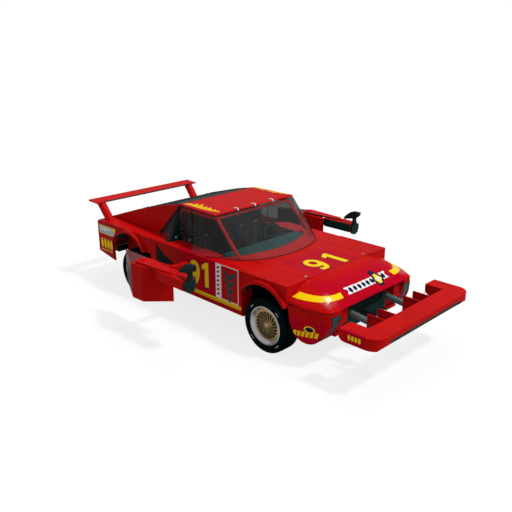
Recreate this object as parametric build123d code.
from build123d import *
import os

# GT race car, millimetres. Front is -Y, the car's right-hand side is -X, +Z is up.
# The origin is on the ground, at the middle of the whole car's box.
# Sub-parts are drawn on the right-hand side and mirrored to the left.

# Driving dimensions: body
HALF_W = 943            # side skin
BELT_Z = 918            # flat belt line, bonnet and wing tops
SILL_Z = 319            # underside of the floor and sills
ROOF_Z = 1406
ROOF_T = 12             # roof plate
SKIN = 25               # outer panels with their stiffening
GLASS = 9
GAP = 6                 # shut lines round moving panels
NOSE_Y = -1377          # front edge of the flat bonnet deck
COWL_Y = -660           # shut line between front wing and door
DOOR_REAR_Y = 511
DOOR_T = 60
DOOR_Z = 425            # underside of the doors, top of the sills
INTAKE_REAR_Y = 984
TAIL_Y = 2388
FAST_X = 690            # side walls of the fastback
WELL_X = 540            # inner walls of the wheel wells
ARCH_CHORD_Z = 670      # lower edge of the front wings
REAR_CHORD_Z = 696      # lower edge of the rear wings over the wheels
FRONT_ARCH = (-1019, 440, 405)   # centre y, centre z, radius
REAR_ARCH = (1590, 470, 410)
LINER = 6               # sheet of the wheel arch liners
FLARE_OUT = 47
FLARE_W = 40

# Driving dimensions: running gear
FRONT_AXLE_Y = -1045
REAR_AXLE_Y = 1445
WHEEL_R = 340
BEAD_R = 230            # tyre bore
TYRE_OUT_F = 951        # outer faces of the tyres
TYRE_OUT_R = 970
TYRE_W_F = 245
TYRE_W_R = 300
SPINDLE_R = 20
NUT_R = 30
SHOULDER_R = 34
HUB_R = 60
HUB_IN = 71             # hub's outer end, measured in from the tyre's face
HUB_LEN = 50
RUN_FIT = 0.05          # radial clearance of running fits
END_FIT = 0.5           # end clearance beside hubs and pins
KINGPIN_X = 760
KINGPIN_R = 12
KNUCKLE_R = 30
ARM_Z = (250, 430)      # lower and upper wishbone

# Driving dimensions: ram bumper and side gear
RAM_W = 952
RAM_FRONT_Y = -2587
RAM_Z = (545, 679)
RAM_IN = (740, -2331)   # inner faces of the arms and of the beam
TUBE_X = 352
TUBE_R = 38
PIN_YZ = (-2165, 522)
TOW_Y = -1900           # towing eye in the beam below the grille
TOW_Z = (440, 500)
TOW_R = 14
FORK_X = (257, 460)     # outer faces of the fork plates beside each tube
POD_Z = (470, BELT_Z)
BEAM_X = (1455, 1634)
BEAM_Z = 800
BEAM_FRONT_Y = -428
CLAW_X = 1534

# Outlines shared by several sub-parts, right half from the side to the middle
SCREEN_BASE = [(943, 37), (835, -140), (754, -349), (667, -442), (528, -557), (310, -622), (150, -656), (0, -663)]
HOOD_REAR = [(600, -535), (528, -590), (310, -655), (150, -690), (0, -697)]
ROOF_FRONT = (722, 40)
ROOF_REAR = (692, 744)
SIDE_BASE = [(690, 1215), (902, 782), (700, 753), (715, 489), (933, 276)]
SIDE_TOP = [ROOF_REAR, ROOF_REAR, ROOF_REAR, (703, 489), (712, 276)]
SIDE_IN = [(-2.3, 2.5), (-1.5, 0.8), (-1, 0.87), (-1, -0.42), (-1, -0.43)]
LEDGE_IN = 700          # inner edge of the ledges below the side glass
COVER_TOP = [(760, 1402), (1074, 1331), (1692, 1157)]
DECK_TOP = [(1698, 1156), (2017, 1047), (2382, 921)]

# Nose sections: y, then (x, z) from the lower edge to the middle
NOSE_SECTIONS = [
    (NOSE_Y, [(905, 705), (925, 735), (880, 775), (790, 829), (675, 877), (560, 910), (380, 918), (0, 918)]),
    (-1500, [(908, 705), (899, 740), (863, 771), (773, 820), (665, 858), (540, 884), (340, 897), (0, 900)]),
    (-1620, [(893, 705), (872, 740), (826, 771), (720, 818), (600, 849), (470, 864), (300, 871), (0, 873)]),
    (-1715, [(862, 705), (838, 737), (780, 770), (680, 804), (570, 826), (450, 838), (280, 845), (0, 848)]),
    (-1790, [(833, 705), (800, 732), (730, 761), (640, 783), (540, 797), (420, 805), (250, 809), (0, 811)]),
    (-1850, [(795, 705), (765, 722), (700, 738), (610, 750), (510, 757), (390, 761), (230, 764), (0, 765)]),
    (-1890, [(700, 705), (668, 710), (600, 714), (520, 717), (430, 719), (330, 720), (200, 721), (0, 721)]),
]

PARTS = {}


def keep(name, *shapes):
    """Stores the solids of one node."""
    PARTS[name] = [solid for shape in shapes for solid in shape.solids()]


def face_of(points):
    return Face(Wire.make_polygon([Vector(*p) for p in points], close=True))


def prism(points, offset):
    """A polygon of 3-D points pushed along an offset."""
    return Solid.extrude(face_of(points), Vector(*offset))


def prism_x(points, x0, x1):
    return prism([(x0, y, z) for y, z in points], (x1 - x0, 0, 0))


def prism_y(points, y0, y1):
    return prism([(x, y0, z) for x, z in points], (0, y1 - y0, 0))


def prism_z(points, z0, z1):
    return prism([(x, y, z0) for x, y in points], (0, 0, z1 - z0))


def block(x0, x1, y0, y1, z0, z1):
    return prism_z([(x0, y0), (x1, y0), (x1, y1), (x0, y1)], z0, z1)


def curved_prism(curve, corners, offset):
    """A spline closed by straight runs through corners, pushed along an offset."""
    run = [curve[-1]] + corners + [curve[0]]
    edges = [Edge.make_spline([Vector(*p) for p in curve])]
    edges += [Edge.make_line(Vector(*a), Vector(*b)) for a, b in zip(run, run[1:])]
    return Solid.extrude(Face(Wire(edges)), Vector(*offset))


def rod(start, end, radius):
    """A round bar between two points."""
    axis = Vector(*end) - Vector(*start)
    return Solid.make_cylinder(radius, axis.length, Plane(origin=start, z_dir=axis))


def polyhedron(faces):
    """A closed solid from flat faces given by their corners."""
    return Solid(Shell([face_of(f) for f in faces]))


def left(shape):
    """The mirror twin on the car's left side."""
    return mirror(shape, Plane.YZ)


def both(shape):
    return [shape, left(shape)]


def mirrored(points):
    """A right-to-left polyline from its half, which ends on the centre line."""
    return points + [(-x, y) for x, y in reversed(points[:-1])]


def disc_x(centre_y, centre_z, radius, x0, x1):
    return rod((x0, centre_y, centre_z), (x1, centre_y, centre_z), radius)


def ring_x(centre_y, centre_z, outer, inner, x0, x1):
    hole = disc_x(centre_y, centre_z, inner, x0 - 1, x1 + 1)
    return disc_x(centre_y, centre_z, outer, x0, x1) - hole


def turned(y, face_x, profile):
    """A ring about a wheel's axis from (depth, radius) points, depth measured in from its outer face."""
    section = face_of([(face_x + d, y, WHEEL_R + r) for d, r in profile])
    return revolve(section, Axis((0, y, WHEEL_R), (1, 0, 0)), 360)


def canopy_rings(inset):
    """The glasshouse's outline at the belt and at the roof, right side first, moved in by an inset."""
    low = [(x + inset * u, y + inset * v) for (x, y), (u, v) in zip(SIDE_BASE, SIDE_IN)]
    top = [(ROOF_REAR[0] - 1.45 * inset, ROOF_REAR[1] + 0.9 * inset)] * 3
    top += [(x - inset, y) for x, y in SIDE_TOP[3:]]
    for i, (x, y) in enumerate(SCREEN_BASE):
        dx = inset if x > 0 else 0
        dy = inset if y < -200 else 0
        low.append((x - dx, y + dy))
        along = min(1, x / SCREEN_BASE[3][0])
        top.append((ROOF_FRONT[0] * along - dx, ROOF_FRONT[1]))
    return mirrored(low), mirrored(top)


def canopy_solid(inset, z_low, z_high):
    """The whole glasshouse as one closed block, moved in by an inset."""
    low, top = canopy_rings(inset)
    lows = [(x, y, z_low) for x, y in low]
    tops = [(x, y, z_high) for x, y in top]
    ring = [p for i, p in enumerate(tops) if p != tops[i - 1]]
    faces = [list(reversed(lows)), ring]
    for i, point in enumerate(lows):
        j = (i + 1) % len(lows)
        faces.append([point, lows[j], tops[i]])
        if tops[i] != tops[j]:
            faces.append([lows[j], tops[j], tops[i]])
    return polyhedron(faces)


def build_glass():
    shell = canopy_solid(0, BELT_Z, ROOF_Z) - canopy_solid(GLASS, BELT_Z, ROOF_Z)
    glass_top = ROOF_Z - ROOF_T - GAP
    door_front = SCREEN_BASE[0][1]
    door_rear = SIDE_BASE[3][1] - 9
    keep("windscreen", shell & block(-1000, 1000, -800, door_front - 1, BELT_Z, glass_top))
    side = shell & block(-1000, -300, door_front + GAP + 1, door_rear, BELT_Z, glass_top)
    keep("door_glass_right", side)
    keep("door_glass_left", left(side))
    rear = shell & block(-1000, -640, door_rear + 2 * GAP, 1400, BELT_Z, glass_top)
    keep("quarter_glass", *both(rear))


def build_tub():
    """Floor, bulkheads and the inner walls of the wheel wells."""
    sill_in = 860
    plan = [(WELL_X, -1650), (WELL_X, -640), (sill_in, -640), (sill_in, 1095), (WELL_X, 1095), (WELL_X, 2250)]
    tub = prism_z(plan + [(-x, y) for x, y in reversed(plan)], SILL_Z, SILL_Z + 30)
    for s in (-1, 1):
        wall_in, wall_out = sorted((s * (WELL_X - 15), s * WELL_X))
        tub += block(wall_in, wall_out, NOSE_Y + 7, -640, SILL_Z, 860)
        tub += block(wall_in, wall_out, 1095, 2250, SILL_Z, 860)
    tub += block(-sill_in, sill_in, -640, -620, SILL_Z, 870)
    tub += block(-875, 875, 780, 800, DOOR_Z + 1, 881)
    tub += block(-sill_in, sill_in, 780, 800, SILL_Z, DOOR_Z + 1)
    tub -= disc_x(REAR_AXLE_Y, WHEEL_R, 46, -700, 700)
    keep("tub", tub)


def build_sills():
    """Box sills with their tapered outer face, closed at the front by the rear wall of the wheel well."""
    profile = [(-860, SILL_Z), (-905, SILL_Z), (-HALF_W, 405), (-HALF_W, DOOR_Z - GAP), (-860, DOOR_Z - GAP)]
    sill = prism_y(profile, -650, 1095)
    sill += block(-877, -750, -650, -640, SILL_Z, 662)
    keep("sills", *both(sill))


def build_cage():
    """Tubes under the glass: screen pillars, stout roof rails, hoop and rear legs."""
    r = 19
    rail_r = 30
    rail_z = 1340
    front, rear, knee, foot = (655, 65), (645, 700), (636, 772, 1300), (850, 836, 890)
    cage = rod((-front[0], front[1], rail_z), (front[0], front[1], rail_z), r)
    cage += rod((-rear[0], rear[1], rail_z), (rear[0], rear[1], rail_z), r)
    for s in (-1, 1):
        top_front = (s * front[0], front[1], rail_z)
        top_rear = (s * rear[0], rear[1], rail_z)
        knee_point = (s * knee[0], knee[1], knee[2])
        cage += rod((s * 678, -362, 928), top_front, r)
        cage += rod(top_front, top_rear, rail_r)
        cage += rod(top_rear, knee_point, r)
        cage += rod(knee_point, (s * foot[0], foot[1], foot[2]), r)
        cage += Pos(*knee_point) * Sphere(r)
        for corner in (top_front, top_rear):
            cage += Pos(*corner) * Sphere(rail_r)
    keep("roll_cage", cage)


def build_roof():
    """The roof plate, whose edges lean with the glass."""
    xf, yf = ROOF_FRONT
    xr, yr = ROOF_REAR
    low_z = ROOF_Z - ROOF_T
    low = [(-xf - 5, yf - 14, low_z), (xf + 5, yf - 14, low_z), (xr + 5, yr + 4, low_z), (-xr - 5, yr + 4, low_z)]
    top = [(-xf, yf, ROOF_Z), (xf, yf, ROOF_Z), (xr, yr, ROOF_Z), (-xr, yr, ROOF_Z)]
    faces = [list(reversed(low)), top]
    for i in range(4):
        j = (i + 1) % 4
        faces.append([low[i], low[j], top[j]])
        faces.append([low[i], top[j], top[i]])
    keep("roof_panel", polyhedron(faces))


def arch_cut(arch):
    y, z, r = arch
    return disc_x(y, z, r, -1100, -800)


def flare(arch, z_low):
    """A raised lip over a wheel arch."""
    y, z, r = arch
    ring = ring_x(y, z, r + FLARE_W, r, -HALF_W - FLARE_OUT, -HALF_W + SKIN)
    return ring & block(-1100, -800, y - 600, y + 600, z_low, 1000)


def arch_liner(arch, z_low):
    """The curved sheet over a wheel, between the side skin and the inner wall of its well."""
    y, z, r = arch
    sheet = ring_x(y, z, r, r - LINER, -HALF_W + SKIN, -WELL_X - 1)
    return sheet & block(-1000, -500, y - 600, y + 600, z_low, 1000)


def build_liners():
    keep("wheel_liners_front", *both(arch_liner(FRONT_ARCH, ARCH_CHORD_Z)))
    keep("wheel_liners_rear", *both(arch_liner(REAR_ARCH, REAR_CHORD_Z + 20)))


def build_front_wings():
    y0, y1 = NOSE_Y, COWL_Y - GAP
    side = block(-HALF_W, -HALF_W + SKIN, y0, y1, ARCH_CHORD_Z, BELT_Z) - arch_cut(FRONT_ARCH)
    top = block(-HALF_W, -606, y0, y1, BELT_Z - SKIN, BELT_Z)
    front = block(-HALF_W + SKIN, -606, y0, y0 + SKIN, 705, BELT_Z - SKIN)
    front -= disc_x(FRONT_ARCH[0], FRONT_ARCH[1], FRONT_ARCH[2], -1000, -500)
    lip = flare(FRONT_ARCH, ARCH_CHORD_Z) & block(-1100, -800, y0, y1, 0, 2000)
    keep("front_wings", *both(side + top + front + lip))


def build_hood():
    plan = [(-600, NOSE_Y + GAP), (600, NOSE_Y + GAP)] + mirrored(HOOD_REAR)
    keep("hood", prism_z(plan, BELT_Z - SKIN, BELT_Z))


def build_cowl():
    """Fixed scuttle deck round the screen, and the dash inside it."""
    front = [(x, y + GAP) for x, y in HOOD_REAR[1:]]
    inner = [(877, -100), (780, -100), (727, -190), (530, -290), (250, -360), (0, -390)]
    outline = mirrored([(877, COWL_Y), (606, COWL_Y), (606, -522)] + front)
    keep("cowl_panel", prism_z(outline + list(reversed(mirrored(inner))), BELT_Z - SKIN, BELT_Z - 4))
    dash = mirrored([(690, -195)] + [(x, y + 8) for x, y in inner[3:]]) + [(-690, -60), (690, -60)]
    keep("dashboard", prism_z(dash, 720, BELT_Z - 6))


def build_doors():
    """Doors with the flat ledge inside their top edge, under the glass."""
    rear = DOOR_REAR_Y - GAP
    door = block(-HALF_W, -HALF_W + DOOR_T, COWL_Y, rear, DOOR_Z, BELT_Z - GAP)
    ledge = [(-890, -92), (-LEDGE_IN, -92), (-LEDGE_IN, rear - 25), (-890, rear)]
    door += prism_z(ledge, BELT_Z - SKIN, BELT_Z - GAP)
    keep("door_right", door)
    keep("door_left", left(door))


def build_quarters():
    """Panels behind the doors with the engine air intakes, and the ledge outside the rear glass."""
    y0, y1 = DOOR_REAR_Y + GAP, INTAKE_REAR_Y
    top, low, tip = (978, 880), (978, 600), (600, 675)
    scoop = [(-1000, y, z) for y, z in (tip, (684, 716), (787, 757), (860, 795), top)]
    mouth = curved_prism(scoop, [(-1000, *low)], (200, 0, 0))
    wall = block(-HALF_W, -HALF_W + SKIN, y0, y1, DOOR_Z, BELT_Z) - mouth
    ledge = [(-920, y0), (-LEDGE_IN - 5, y0), (-LEDGE_IN - 5, 753), (-902, 782.5), (-803, y1), (-920, y1)]
    wall += prism_z(ledge, BELT_Z - SKIN, BELT_Z)
    keep("quarter_panels", *both(wall))
    plate = block(-HALF_W + SKIN, -HALF_W + SKIN + 10, 580, 980, 580, 892)
    core = mouth & block(-HALF_W + 4, -HALF_W + SKIN, 560, 975, 560, 900)
    ribs = [core & block(-1000, -900, 642 + 37 * i, 657 + 37 * i, 560, 900) for i in range(9)]
    keep("side_grilles", *both(plate.fuse(*[s for rib in ribs for s in rib.solids()])))


def build_rear_wings():
    y0, y1 = INTAKE_REAR_Y + 2, TAIL_Y - 20
    wheel_y = (1100, 1863)
    outline = [(y0, BELT_Z), (y1, BELT_Z), (y1, 439), (wheel_y[1], 355), (wheel_y[1], 500), (wheel_y[0], 500),
               (wheel_y[0], DOOR_Z), (y0, DOOR_Z)]
    side = prism_x(outline, -HALF_W, -HALF_W + SKIN) - arch_cut(REAR_ARCH)
    side -= block(-1100, -800, wheel_y[0], wheel_y[1], 200, REAR_CHORD_Z)
    deck = [(-HALF_W, y0), (-640, y0), (-640, 1230), (-FAST_X, 1290), (-FAST_X, y1), (-HALF_W, y1)]
    top = prism_z(deck, BELT_Z - SKIN, BELT_Z)
    keep("rear_wings", *both(side + top + flare(REAR_ARCH, REAR_CHORD_Z)))


def lowered(points, drop):
    """The lower edge of a sheet whose top edge runs through points."""
    return [(y, z - drop) for y, z in reversed(points)]


def build_fastback():
    """The sloping rear body: side walls, rear deck, and the louvred cover over the engine."""
    wall = prism_x([(1225, BELT_Z), (752, 1400)] + COVER_TOP[1:] + DECK_TOP[1:], -FAST_X, -FAST_X + SKIN)
    deck = prism_x(DECK_TOP + lowered(DECK_TOP, SKIN), -FAST_X, FAST_X)
    keep("rear_body", wall + left(wall) + deck)
    cover_x = FAST_X - SKIN - GAP
    cover = prism_x(COVER_TOP + lowered(COVER_TOP, SKIN), -cover_x, cover_x)
    (y0, z0), (y1, z1) = COVER_TOP[1:]
    slats = 11
    for i in range(slats):
        y = y0 + (y1 - y0) * (i + 0.5) / slats
        z = z0 + (z1 - z0) * (i + 0.5) / slats
        cover -= prism_x([(y - 22, z + 7), (y + 22, z - 5.5), (y + 22, z - 16), (y + 14, z - 16)], 60 - cover_x,
                         cover_x - 60)
    keep("engine_cover", cover)


def build_tail():
    keep("tail_panel", block(-HALF_W, HALF_W, TAIL_Y - 19, TAIL_Y, 442, BELT_Z - 24))
    keep("rear_valance", block(-700, 700, 2254, 2368, 385, 442))


def build_wing():
    blade = prism_x([(2587, 1181), (2361, 1171), (2361, 1153), (2575, 1160), (2587, 1163)], -942, 942)
    for s in (-1, 1):
        strut = rod((s * 816, 2200, 867), (s * 831, 2484, 1206), 60)
        blade += strut & block(-942, 942, 2100, 2600, 919, 1156)
    keep("rear_wing", blade)


def nose_section(y, half):
    """A closed wire: one spline over the top and a straight lower edge."""
    points = [(-x, y, z) for x, z in half] + [(x, y, z) for x, z in reversed(half[:-1])]
    over = Edge.make_spline([Vector(*p) for p in points])
    return Wire([over, Edge.make_line(Vector(*points[-1]), Vector(*points[0]))])


def build_nose():
    """Domed nose ahead of the bonnet, a closed moulding."""
    keep("nose_panel", Solid.make_loft([nose_section(y, half) for y, half in NOSE_SECTIONS]))


def build_bumper():
    """Rounded corner mouldings with the lamps let into their undercut faces, on a cross member."""
    top = 700
    plan = [(-925, -1383), (-914, -1490), (-889, -1640), (-843, -1775), (-780, -1862), (-690, -1893)]
    low = 302
    side = [(-1383, top), (-1401, 534), (-1445, 415), (-1500, 350), (-1570, 312), (-1635, low), (-1705, 314),
            (-1780, 375), (-1840, 480), (-1875, 580), (-1897, top)]
    end = [(-HALF_W, top), (-932, 570), (-908, 460), (-868, 370), (-790, low)]
    corner = curved_prism([(x, y, 290) for x, y in plan], [(-600, -1893, 290), (-560, -1383, 290)], (0, 0, top - 290))
    corner = corner & curved_prism([(-1000, y, z) for y, z in side], [], (500, 0, 0))
    corner = corner & curved_prism([(x, -2000, z) for x, z in end], [(-500, -2000, low), (-500, -2000, top)],
                                   (0, 700, 0))
    corner -= block(-850, -500, -1600, -1300, 400, 610)
    window = prism_y([(-770, 655), (-612, 662), (-612, 600), (-690, 420), (-738, 425)], -1950, -1700)
    lamp = (corner & window) - Pos(0, 38, 14) * corner
    corner -= lamp
    member = block(-602, 602, -1766, -1655, 345, 700)
    cheek = block(-602, -460, -1850, -1766, 500, 700)
    cheek += block(-602, -400, -1800, -1700, 345, 372)
    keep("front_bumper", corner + member + left(corner) + cheek + left(cheek))
    keep("headlamps", *both(lamp))
    frame = block(-310, 310, -1790, -1766.2, 506, 690) - block(-292, 292, -1791, -1776, 522, 674)
    for i in range(5):
        z = 530 + 29 * i
        frame += prism_x([(-1788, z), (-1776, z + 10), (-1776, z + 16), (-1788, z + 6)], -292, 292)
    keep("front_grille", frame)
    beam = prism_z([(-75, -1766), (-60, -1880), (-30, -1935), (30, -1935), (60, -1880), (75, -1766)], *TOW_Z)
    keep("tow_beam", beam - rod((0, TOW_Y, TOW_Z[0] - 5), (0, TOW_Y, TOW_Z[1] + 5), TOW_R))


def build_ram():
    """Ram bumper: a U-shaped beam with fork plates, pinned to two push tubes."""
    z0, z1 = RAM_Z
    x_in, y_in = RAM_IN
    rear_y = -2100
    round_y = RAM_FRONT_Y + 160
    nose = [(-RAM_W, round_y, z0), (-935, round_y - 70, z0), (-885, round_y - 128, z0), (-820, RAM_FRONT_Y + 3, z0),
            (-790, RAM_FRONT_Y, z0)]
    tail = [(0, RAM_FRONT_Y, z0), (0, y_in, z0), (-x_in, y_in, z0), (-x_in, rear_y, z0), (-RAM_W, rear_y, z0)]
    half = curved_prism(nose, tail, (0, 0, z1 - z0))
    half -= prism_x([(rear_y + 1, 611), (-2112, 575), (-2140, 552), (-2176, z0 - 1), (rear_y + 1, z0 - 1)], -1000, 0)
    half -= prism_x([(RAM_FRONT_Y - 1, z0 + 43), (RAM_FRONT_Y + 43, z0 - 1), (RAM_FRONT_Y - 1, z0 - 1)], -1000, -714)
    half -= prism_x([(RAM_FRONT_Y - 1, z0 + 57), (RAM_FRONT_Y + 22, z0 + 35), (RAM_FRONT_Y + 44, z0 - 1),
                     (RAM_FRONT_Y - 1, z0 - 1)], -715, 0)
    ram = half + left(half)
    plate = [(y_in - 9, z0), (y_in - 9, z1 - 1), (-2109, z1 - 1), (-2109, 480), (-2200, 480)]
    fork = prism_x(plate, 0, 12)
    for s in (-1, 1):
        for x in FORK_X:
            shift = -x if s < 0 else x - 12
            ram += Pos(shift, 0, 0) * fork
    keep("ram_bumper", ram)
    pin_y, pin_z = PIN_YZ
    tube = rod((-TUBE_X, -1740, 567.8), (-TUBE_X, pin_y, pin_z), TUBE_R)
    tube -= block(-TUBE_X - 60, -TUBE_X + 60, -1766.2, -1700, 500, 640)
    tube += disc_x(pin_y, pin_z, TUBE_R + 5, -TUBE_X - TUBE_R - 6, -TUBE_X + TUBE_R + 6)
    tube += disc_x(pin_y, pin_z, 14, -FORK_X[1] + 12, -FORK_X[0])
    keep("ram_tubes", *both(tube))


def build_engine():
    keep("engine_block", block(-250, 250, 960, 1400, 350, 780))


def build_front_suspension():
    mount_x = -WELL_X - 20
    arms = block(mount_x, -WELL_X - 0.3, FRONT_AXLE_Y - 100, FRONT_AXLE_Y + 100, SILL_Z + 1, 460)
    for z in ARM_Z:
        root_z = max(z, SILL_Z + 20)
        for dy in (-80, 80):
            arms += rod((mount_x + 4, FRONT_AXLE_Y + dy, root_z), (-KINGPIN_X, FRONT_AXLE_Y, z), 13)
        arms += rod((-KINGPIN_X, FRONT_AXLE_Y, z - 16), (-KINGPIN_X, FRONT_AXLE_Y, z + 16), 26)
        arms -= rod((-KINGPIN_X, FRONT_AXLE_Y, z - 30), (-KINGPIN_X, FRONT_AXLE_Y, z + 30), KINGPIN_R + RUN_FIT)
    keep("front_wishbones", *both(arms))


def build_knuckle():
    def bar(x0, x1, radius):
        return disc_x(FRONT_AXLE_Y, WHEEL_R, radius, x0, x1)
    low, high = ARM_Z
    hub_out = -TYRE_OUT_F + HUB_IN
    pin = rod((-KINGPIN_X, FRONT_AXLE_Y, low - 28), (-KINGPIN_X, FRONT_AXLE_Y, high + 28), KINGPIN_R)
    body = rod((-KINGPIN_X, FRONT_AXLE_Y, low + 37), (-KINGPIN_X, FRONT_AXLE_Y, high - 25), KNUCKLE_R)
    spindle = bar(-905, -KINGPIN_X, SPINDLE_R)
    shoulder = bar(hub_out + HUB_LEN + END_FIT, -KINGPIN_X, SHOULDER_R)
    nut = bar(-905, hub_out - END_FIT, NUT_R)
    knuckle = pin + body + spindle + shoulder + nut
    keep("knuckle_right", knuckle)
    keep("knuckle_left", left(knuckle))


def build_rear_axle():
    def bar(x0, x1, radius):
        return disc_x(REAR_AXLE_Y, WHEEL_R, radius, x0, x1)
    hub_out = -TYRE_OUT_R + HUB_IN
    hub_in = hub_out + HUB_LEN
    half = bar(-800, 0, 40) + bar(-924, -790, SPINDLE_R) + bar(hub_in + END_FIT, -790, SHOULDER_R)
    half += bar(-924, hub_out - END_FIT, NUT_R)
    keep("rear_axle", half + left(half))


def build_wheel(end, y, outer_x, width):
    """A wheel on the car's right and its twin on the left."""
    inner = width - 14
    tread = [(inner, 230), (width - 10, 242), (width - 2, 262), (width, 290), (width - 4, 318), (width - 22, 336),
             (width - 40, WHEEL_R), (40, WHEEL_R), (22, 336), (4, 318), (0, 290), (2, 262), (10, 242), (14, 230)]
    tyre = turned(y, -outer_x, tread)
    barrel = [(2, 229), (5, 237), (9, 237), (13, 229.9), (width - 13, 229.9), (width - 9, 237), (width - 5, 237),
              (width - 2, 229), (width - 2, 222), (width - 16, 216), (80, 216), (64, 188), (48, 188), (6, 222),
              (2, 224)]
    disc = [(50, 190), (64, 190), (92, HUB_R - 2), (76, HUB_R - 2)]
    rim = turned(y, -outer_x, barrel) + turned(y, -outer_x, disc)
    hub_out = -outer_x + HUB_IN
    rim += ring_x(y, WHEEL_R, HUB_R, SPINDLE_R + RUN_FIT, hub_out, hub_out + HUB_LEN)
    keep(f"tyre_{end}_right", tyre)
    keep(f"tyre_{end}_left", left(tyre))
    keep(f"rim_{end}_right", rim)
    keep(f"rim_{end}_left", left(rim))


def build_seat(x):
    """One bucket seat: cushion with bolsters, shell back and head rest."""
    cushion = block(x - 215, x + 215, 120, 600, 360, 500)
    for s in (-1, 1):
        cushion += block(*sorted((x + s * 215, x + s * 160)), 130, 600, 500, 545)
    back = prism_x([(560, 501), (690, 501), (735, 970), (645, 970)], x - 200, x + 200)
    for s in (-1, 1):
        wing = prism_x([(500, 560), (570, 560), (640, 940), (590, 940)], *sorted((x + s * 200, x + s * 148)))
        back += wing
    neck = prism_x([(660, 970), (722, 970), (728, 1005), (668, 1005)], x - 60, x + 60)
    head = prism_x([(640, 1000), (722, 1000), (730, 1185), (655, 1185)], x - 125, x + 125)
    return cushion + back + neck + head


def build_cabin():
    seat_x = 480
    keep("seat_right", build_seat(-seat_x))
    keep("seat_left", build_seat(seat_x))
    hub = (seat_x, 150, 850)
    wheel = Pos(*hub) * Rot(65, 0, 0) * Torus(170, 14)
    wheel += rod(hub, (seat_x, -50, 772), 20)
    wheel += rod((seat_x - 165, 150, 850), (seat_x + 165, 150, 850), 10)
    keep("steering_wheel", wheel)


def build_side_gear():
    """On each door: an arm with an open-topped pod, its lens, and the beam with its claw."""
    z0, z1 = POD_Z
    wall_x = -1415
    corners = [(wall_x, 20), (-1680, 275), (-1685, 488), (-1430, 490)]
    tray = [(-1437, 70), (-1662, 284), (-1667, 470), (-1448, 472)]
    pod = prism_z(corners, z0, z1) - prism_z(tray, z1 - 6, z1)
    arm = block(wall_x - 16, -HALF_W, 262, 330, 735, 790)
    keep("outrigger_right", pod + arm)
    keep("outrigger_left", left(pod + arm))
    lens = prism_z([corners[2], corners[3], (corners[3][0], 960)], z0 + 8, z1 - 2)
    keep("pod_lens_right", lens)
    keep("pod_lens_left", left(lens))
    x_in, x_out = BEAM_X
    side = [(BEAM_FRONT_Y, z1), (60, z1), (60, 832), (50, 810), (30, BEAM_Z), (BEAM_FRONT_Y, BEAM_Z)]
    beam = prism_x(side, -x_out, -x_in)
    beam -= prism_z(corners, z0 - 1, z1 + 1)
    link = prism_z([(-1600, -150), (-1512, -150), (-1470, 360), (-1478, 450), (-1520, 482), (-1585, 482),
                    (-1630, 450), (-1638, 380)], z1, z1 + 22)
    boss = rod((-1552, 425, z1 + 21), (-1552, 425, z1 + 34), 34)
    pad = block(-1590, -1520, -215, -150, z1, z1 + 14)
    boom = beam + link + boss + pad
    keep("boom_right", boom)
    keep("boom_left", left(boom))
    keep("claw_right", build_claw())
    keep("claw_left", left(build_claw()))


def build_claw():
    """A rounded foot across the beam's end, with a post that carries a hooked head plate."""
    y = BEAM_FRONT_Y
    curve = [(-1622, 905), (-1620, 830), (-1600, 786), (-1545, 762), (-1490, 778), (-1468, 822), (-1466, 905)]
    foot = curved_prism([(x, y, z) for x, z in curve], [], (0, -36, 0))
    post = block(-CLAW_X - 27, -CLAW_X + 27, y - 36, y, 860, 1012)
    head = prism_x([(-272, 985), (-287, 955), (-317, 972), (-412, 992), (y, 1005), (y - 36, 1005), (-487, 1016),
                    (-527, 1050), (-539, 1100), (-437, 1101), (-379, 1080), (-317, 1032)],
                   -CLAW_X - 22, -CLAW_X + 22)
    return foot + post + head


build_glass()
build_tub()
build_sills()
build_cage()
build_roof()
build_liners()
build_front_wings()
build_hood()
build_cowl()
build_doors()
build_quarters()
build_rear_wings()
build_fastback()
build_tail()
build_wing()
build_nose()
build_bumper()
build_ram()
build_engine()
build_front_suspension()
build_knuckle()
build_rear_axle()
build_wheel("front", FRONT_AXLE_Y, TYRE_OUT_F, TYRE_W_F)
build_wheel("rear", REAR_AXLE_Y, TYRE_OUT_R, TYRE_W_R)
build_cabin()
build_side_gear()

os.makedirs("parts", exist_ok=True)
for name, solids in PARTS.items():
    export_step(Compound(solids) if len(solids) > 1 else solids[0], f"parts/{name}.step")
print(len(PARTS), "nodes")
